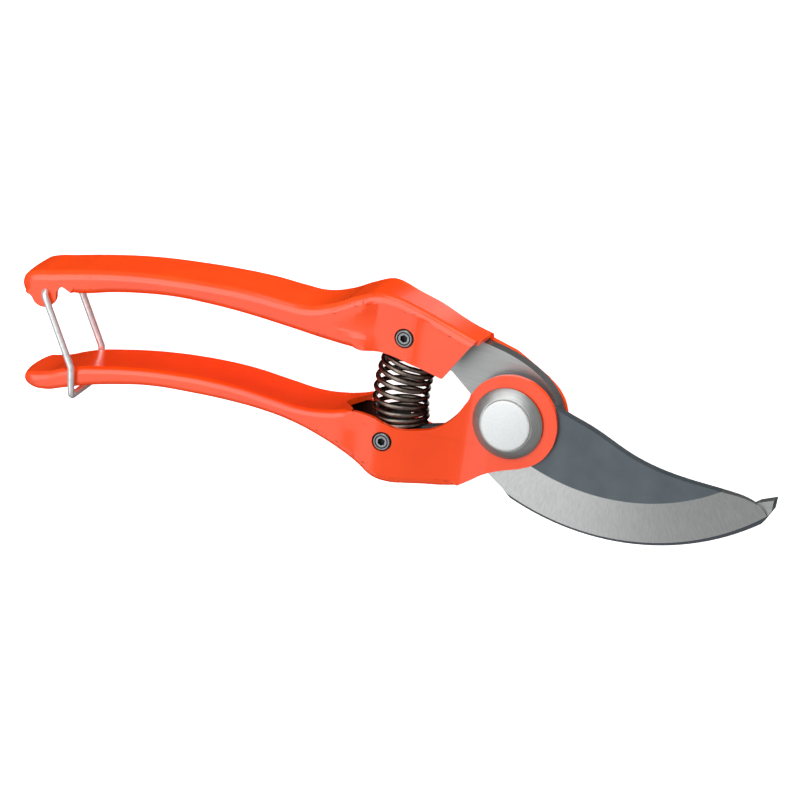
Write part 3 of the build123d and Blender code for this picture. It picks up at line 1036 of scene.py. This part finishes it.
@dataclass
class CoilSpring:
    """Compression spring between the tangs, wound tight at its ends and bowed with the handles."""

    name: str = "bowed_coil_spring"
    radius: float = 8.2
    wire: float = 1.45
    turns: int = 9
    steps: int = 40
    low: Plan = (-32.6, -8.7)
    high: Plan = (-32.2, 11.4)
    bow: float = 1.5
    tilt: float = 11.0
    mid_z: float = 11.0
    loose: float = 10.0

    def build(self, finishes: Finishes) -> Object:
        """Winds a straight coil with a Screw modifier and then bends it.

        Args:
            finishes: the shears' finishes.

        Returns:
            The spring, stretching between the two sides.
        """
        clear_selection()
        bpy.ops.mesh.primitive_circle_add(
            vertices=14, radius=self.wire / 2 * MM, fill_type="NOTHING",
            location=((self.radius - self.wire / 2) * MM, 0, 0), rotation=(math.pi / 2, 0, 0),
        )
        spring = bpy.context.object
        spring.name = self.name
        settle(spring)
        apply_modifier(
            spring, "SCREW", axis="Z", angle=math.tau, screw_offset=self.loose * MM, iterations=self.turns,
            steps=self.steps, render_steps=self.steps, use_merge_vertices=False,
        )
        with editing(spring):
            select_where("edges", lambda e: e.is_boundary)
            bpy.ops.mesh.edge_face_add()
            face_out()
        self.bend(spring)
        smooth(spring, 50)
        give(spring, finishes.spring)
        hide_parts("coil_spring")
        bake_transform(spring)
        log.info("spring %s: %d faces", self.name, len(spring.data.polygons))
        return spring

    def bend(self, spring: Object) -> None:
        """Moves each point of the straight coil to the bowed axis."""
        (x0, y0), (x1, y1) = self.low, self.high
        for vertex in spring.data.vertices:
            turn = math.atan2(vertex.co.y, vertex.co.x) / math.tau % 1.0
            height = vertex.co.z / MM / self.loose
            # Which turn this point belongs to, so that the wire keeps its section
            whole = round(height - turn)
            along = (whole + turn) / self.turns
            offset = (height - (whole + turn)) * self.loose
            pitch = self.spread(along)
            tilt = math.radians(self.tilt * (1 - 2 * pitch))
            centre_x = x0 + (x1 - x0) * pitch - self.bow * 4 * pitch * (1 - pitch)
            centre_y = y0 + (y1 - y0) * pitch
            out_x, out_z = vertex.co.x / MM, vertex.co.y / MM
            vertex.co = (
                (centre_x + out_x * math.cos(tilt) - offset * math.sin(tilt)) * MM,
                (centre_y + out_x * math.sin(tilt) + offset * math.cos(tilt)) * MM,
                (self.mid_z + out_z) * MM,
            )
        spring.data.update()
        with editing(spring):
            face_out()

    def spread(self, along: float) -> float:
        """The share of the length reached at a share of the turns; the end turns lie close."""
        return along - 0.045 * math.sin(math.tau * along) - 0.08 * along * (1 - along)


@dataclass
class TangScrew:
    """Socket head cap screw in a flange's hole."""

    name: str
    body: str
    node: str
    at: Plan
    top: float = 21.5
    head_radius: float = 2.5
    head_height: float = 2.4
    shank_radius: float = 1.5
    shank_end: float = 2.6
    socket: float = 1.18
    socket_depth: float = 1.5

    def build(self, finishes: Finishes) -> Object:
        """Turns the screw, grooves its head and sinks the socket.

        Args:
            finishes: the shears' finishes.

        Returns:
            The screw, riding on its body.
        """
        top, radius = self.top, self.head_radius
        profile = [
            (0.0, top - 0.05), (1.62, top - 0.05), (1.72, top - 0.35), (1.92, top - 0.35), (2.02, top), (2.3, top),
            (radius, top - 0.25),
            (radius, top - self.head_height), (self.shank_radius, top - self.head_height),
            (self.shank_radius, self.shank_end), (0.0, self.shank_end),
        ]
        screw = lathe(self.name, profile, self.at, 64)
        bore(screw, self.at, self.socket, top - self.socket_depth, top + 1, 6)
        smooth(screw)
        give(screw, finishes.screw)
        screw.data.materials.append(finishes.socket)
        # Painted shade: the socket and the groove take the dark second material
        for face in screw.data.polygons:
            reach = math.hypot(face.center.x / MM - self.at[0], face.center.y / MM - self.at[1])
            deep = face.center.z < (top - 0.1) * MM
            if deep and (reach < self.socket + 0.05 or 1.7 < reach < 1.95):
                face.material_index = 1
        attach(screw, self.body)
        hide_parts(self.node)
        log.info("screw %s", self.name)
        return screw


@dataclass
class Pivot:
    """The pivot's turned parts: flat bolt and conical washer."""

    body: str = "blade_side"
    head_radius: float = 7.35
    head_front: float = 18.8
    head_back: float = 16.8
    shank: float = 4.0
    shank_end: float = 0.5
    cone_radius: float = 10.45
    cone_top: float = 7.8
    cone_back: float = 15.8
    cone_front: float = 17.9

    def build(self, finishes: Finishes) -> None:
        """Turns both parts.

        Args:
            finishes: the shears' finishes.
        """
        r, front, back = self.head_radius, self.head_front, self.head_back
        bolt = lathe(
            "pivot_bolt_turned",
            [(0.0, front), (r - 0.55, front), (r - 0.3, front - 0.06), (r - 0.08, front - 0.22), (r, front - 0.45),
             (r, back), (self.shank, back), (self.shank, self.shank_end + 0.5), (self.shank - 0.5, self.shank_end),
             (0.0, self.shank_end)],
            steps=128,
        )
        give(bolt, finishes.bolt)
        rim, top = self.cone_radius, self.cone_top
        washer = lathe(
            "pivot_cone_turned",
            [(rim - 0.1, self.cone_back), (rim, self.cone_back + 0.15), (rim, self.cone_back + 0.4),
             (rim - 0.15, self.cone_back + 0.6), (top + 0.1, self.cone_front - 0.05), (top, self.cone_front),
             (r + 0.12, self.cone_front), (r + 0.05, self.cone_front - 0.1), (r + 0.05, back),
             (self.shank + 0.05, back), (self.shank + 0.05, self.cone_back)],
            steps=128,
        )
        give(washer, finishes.cone)
        for piece, node, slot in (
            (bolt, "pivot_bolt", "bolt_steel"), (washer, "pivot_cone_washer", "washer_steel"),
        ):
            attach(piece, self.body)
            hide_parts(node)
            log.info("pivot %s", piece.name)


@dataclass
class CadParts:
    """The parts whose shape the frame already has."""

    nodes: dict

    def dress(self, finishes: Finishes) -> None:
        """Gives each kept part its finish.

        Args:
            finishes: the shears' finishes.
        """
        kept = {
            "hook_blade": finishes.hook, "cutting_blade": finishes.blade, "pivot_lock_washer": finishes.zinc,
            "pivot_nut": finishes.zinc, "hook_screw_spacer": finishes.socket, "hook_screw_nut": finishes.zinc,
            "blade_screw_spacer": finishes.socket, "blade_screw_nut": finishes.zinc, "wire_catch": finishes.wire,
        }
        for name, material in kept.items():
            give(self.nodes[name], material)
            log.info("kept %s", name)


# ---------------------------------------------------------------- studio


@dataclass
class Studio:
    """Pale floor, soft lights and the camera."""

    tilt: float = 25.0
    turn: float = 50.3
    roll: float = 39.0
    distance: float = 2500.0
    lens: float = 397.0
    aim_height: float = 18.8
    shift_right: float = -29.6
    shift_up: float = 7.42
    floor_z: float = -2.3
    centre: tuple[float, float, float] = (-35.0, 0.0, 15.0)

    def axes(self) -> tuple[Vector, Vector, Vector]:
        """The camera's right, up and backward directions in the row frame.

        Returns:
            Three unit vectors.
        """
        turn, tilt, roll = (math.radians(a) for a in (self.turn, self.tilt, self.roll))
        u = Vector((math.cos(turn), math.sin(turn), 0))
        across_u = Vector((-math.sin(turn), math.cos(turn), 0))
        z = Vector((0, 0, 1))
        back = u * math.sin(tilt) + z * math.cos(tilt)
        lift = u * math.cos(tilt) - z * math.sin(tilt)
        right = lift * math.cos(roll) - across_u * math.sin(roll)
        up = lift * math.sin(roll) + across_u * math.cos(roll)
        return right, up, back

    def camera(self) -> None:
        """Sets the camera."""
        right, up, back = self.axes()
        data = bpy.data.cameras.new("camera")
        data.lens = self.lens
        data.sensor_width = 36.0
        camera = bpy.data.objects.new("camera", data)
        bpy.context.scene.collection.objects.link(camera)
        place = Vector((0, 0, self.aim_height)) + back * self.distance + right * self.shift_right + up * self.shift_up
        turn = Matrix((right, up, back)).transposed().to_4x4()
        camera.matrix_world = Matrix.Translation(place * MM) @ turn
        bpy.context.scene.camera = camera

    def softbox(self, name: str, way: Sequence[float], size: Plan, glow: float, distance: float = 0.9) -> None:
        """Adds one soft light that faces the tool.

        Args:
            name: its name.
            way: its direction from the tool, towards the camera's right, up and back.
            size: its width and height in metres.
            glow: its radiance.
            distance: how far it stands, in metres.
        """
        right, up, back = self.axes()
        out = (right * way[0] + up * way[1] + back * way[2]).normalized()
        side = (right - out * right.dot(out)).normalized()
        data = bpy.data.lights.new(name, "AREA")
        data.shape = "RECTANGLE"
        data.size, data.size_y = size
        data.energy = glow * math.pi * size[0] * size[1]
        lamp = bpy.data.objects.new(name, data)
        bpy.context.scene.collection.objects.link(lamp)
        turn = Matrix((side, out.cross(side), out)).transposed().to_4x4()
        lamp.matrix_world = Matrix.Translation(out * distance + Vector(self.centre) * MM) @ turn

    def floor(self) -> None:
        """Lays the floor."""
        clear_selection()
        bpy.ops.mesh.primitive_plane_add(size=12.0, location=(0, 0, self.floor_z * MM))
        plane = bpy.context.object
        plane.name = "studio_floor"
        material, tree, shader, place = start_material("white_paper_sweep")
        tone = two_tone(tree, noise(tree, place, 40, 2.0), "#FBFBFB", "#FFFFFF")
        tree.links.new(tone, shader.inputs["Base Color"])
        shader.inputs["Roughness"].default_value = 0.9
        shader.inputs["Specular IOR Level"].default_value = 0.1
        shader.inputs["Emission Color"].default_value = (1, 1, 1, 1)
        shader.inputs["Emission Strength"].default_value = 0.9
        give(plane, material)
        plane.visible_glossy = False

    def world(self) -> None:
        """A soft white room over a dark pit, which only reflections see."""
        world = bpy.data.worlds.new("soft_room")
        bpy.context.scene.world = world
        world.use_nodes = True
        tree = world.node_tree
        tree.nodes.clear()
        output = add_node(tree, "ShaderNodeOutputWorld")
        place = add_node(tree, "ShaderNodeTexCoord")
        parts = add_node(tree, "ShaderNodeSeparateXYZ", {"Vector": place.outputs["Generated"]})
        height = parts.outputs["Z"]
        fade = remap(tree, height, (0.0, 0.42), (-0.1, 0.2))
        below = remap(tree, height, (0.0, 1.2), (-0.965, -0.99))
        glow = reckon(tree, "ADD", fade, below)
        sky = add_node(tree, "ShaderNodeBackground", {"Color": (1, 1, 1, 1), "Strength": glow})
        tree.links.new(sky.outputs["Background"], output.inputs["Surface"])

    def build(self) -> None:
        """Sets up the whole studio."""
        self.camera()
        self.floor()
        self.world()
        self.softbox("key_softbox", (-0.45, 0.30, 0.84), (1.0, 1.0), 2.1)
        self.softbox("side_softbox", (-0.71, -0.485, 0.51), (0.5, 1.0), 1.0)
        self.softbox("top_softbox", (0.10, 0.93, 0.35), (0.5, 0.5), 1.9)
        bpy.context.scene.view_settings.view_transform = "Standard"
        log.info("studio ready")


def main() -> None:
    """Builds the shears and the studio."""
    Studio().build()
    finishes = Finishes()
    UpperHandle().build(finishes)
    LowerHandle().build(finishes)
    CoilSpring().build(finishes)
    TangScrew("hook_screw_turned", "hook_side", "hook_screw", HOOK_SCREW_AT).build(finishes)
    TangScrew("blade_screw_turned", "blade_side", "blade_screw", BLADE_SCREW_AT).build(finishes)
    Pivot().build(finishes)
    CadParts(frame["nodes"]).dress(finishes)


if __name__ == "__main__":
    main()
